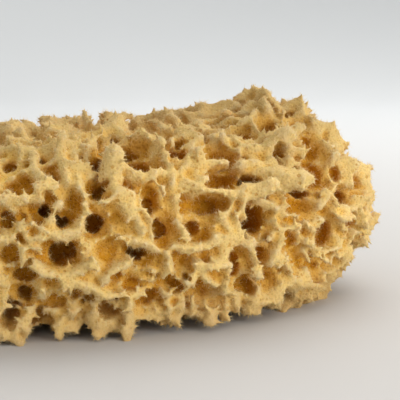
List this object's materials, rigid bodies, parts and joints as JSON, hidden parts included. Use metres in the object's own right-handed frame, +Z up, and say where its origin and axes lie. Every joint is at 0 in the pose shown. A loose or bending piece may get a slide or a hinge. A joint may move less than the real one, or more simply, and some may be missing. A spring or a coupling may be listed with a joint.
{
  "type": "natural sea sponge",
  "caption": "Dry natural sea sponge, a rounded loaf of honey-coloured skeleton full of deep pits between spiky ridges, with a flat cut underside that it rests on.",
  "frame": {"origin": "middle of the footprint of the outer sizes, at the height of the flat underside", "axes": "+Z up, X along the length with the taller hump towards +X, and -Y towards the side that the picture shows"},
  "size_m": [0.17, 0.1016, 0.07],
  "materials": {
    "sponge": "matte"
  },
  "bodies": {
    "root": {"sponge": "sponge"}
  },
  "joints": []
}
